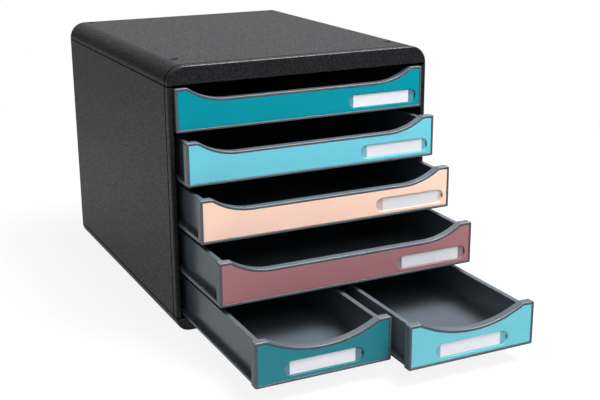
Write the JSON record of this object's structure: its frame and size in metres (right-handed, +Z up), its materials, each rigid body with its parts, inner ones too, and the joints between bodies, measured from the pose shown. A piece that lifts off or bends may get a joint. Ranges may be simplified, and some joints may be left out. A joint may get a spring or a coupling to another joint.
{
  "type": "desktop drawer unit",
  "caption": "Desktop casing with sliding letter trays above narrower side-by-side trays, each with a scooped coloured front, a label window and a blank card.",
  "frame": {"origin": "on the floor, at the centre of the four stacking feet", "axes": "+X to the unit's right as its user faces it, -Y out of the front, the way the drawers open, +Z up"},
  "size_m": [0.288, 0.5651, 0.2725],
  "materials": {
    "cover_plastic": "black polystyrene with a fine pebbled grain",
    "side_plastic": "black polystyrene with a very fine grain",
    "inner_plastic": "smooth satin black polystyrene",
    "foot_rubber": "matt black rubber",
    "tray_plastic": "satin dark grey polystyrene",
    "insert_teal": "glossy teal",
    "insert_turquoise": "glossy light turquoise",
    "insert_peach": "glossy pale peach",
    "insert_rose": "glossy dusty rose",
    "insert_petrol": "glossy petrol blue",
    "insert_aqua": "glossy light aqua",
    "card_stock": "blank white card",
    "clear_plastic": "clear polystyrene window"
  },
  "bodies": {
    "casing": {"top_cover": "cover_plastic", "base": "cover_plastic", "left_side": "side_plastic", "right_side": "side_plastic", "back_panel": "inner_plastic", "centre_rail": "inner_plastic", "foot_front_left": "foot_rubber", "foot_front_right": "foot_rubber", "foot_back_left": "foot_rubber", "foot_back_right": "foot_rubber"},
    "drawer_1": {"tray_1": "tray_plastic", "insert_1": "insert_teal", "card_1": "card_stock", "window_1": "clear_plastic"},
    "drawer_2": {"tray_2": "tray_plastic", "insert_2": "insert_turquoise", "card_2": "card_stock", "window_2": "clear_plastic"},
    "drawer_3": {"tray_3": "tray_plastic", "insert_3": "insert_peach", "card_3": "card_stock", "window_3": "clear_plastic"},
    "drawer_4": {"tray_4": "tray_plastic", "insert_4": "insert_rose", "card_4": "card_stock", "window_4": "clear_plastic"},
    "drawer_5": {"tray_5": "tray_plastic", "insert_5": "insert_petrol", "card_5": "card_stock", "window_5": "clear_plastic"},
    "drawer_6": {"tray_6": "tray_plastic", "insert_6": "insert_aqua", "card_6": "card_stock", "window_6": "clear_plastic"}
  },
  "joints": [
    {"name": "drawer_1_slide", "type": "slide", "parent": "casing", "child": "drawer_1", "axis": [0, -1, 0], "range_m": [0, 0.235]},
    {"name": "drawer_2_slide", "type": "slide", "parent": "casing", "child": "drawer_2", "axis": [0, -1, 0], "range_m": [-0.0257, 0.2093]},
    {"name": "drawer_3_slide", "type": "slide", "parent": "casing", "child": "drawer_3", "axis": [0, -1, 0], "range_m": [-0.0581, 0.1769]},
    {"name": "drawer_4_slide", "type": "slide", "parent": "casing", "child": "drawer_4", "axis": [0, -1, 0], "range_m": [-0.1013, 0.1337]},
    {"name": "drawer_5_slide", "type": "slide", "parent": "casing", "child": "drawer_5", "axis": [0, -1, 0], "range_m": [-0.1786, 0.0564]},
    {"name": "drawer_6_slide", "type": "slide", "parent": "casing", "child": "drawer_6", "axis": [0, -1, 0], "range_m": [-0.2075, 0.0275]}
  ]
}
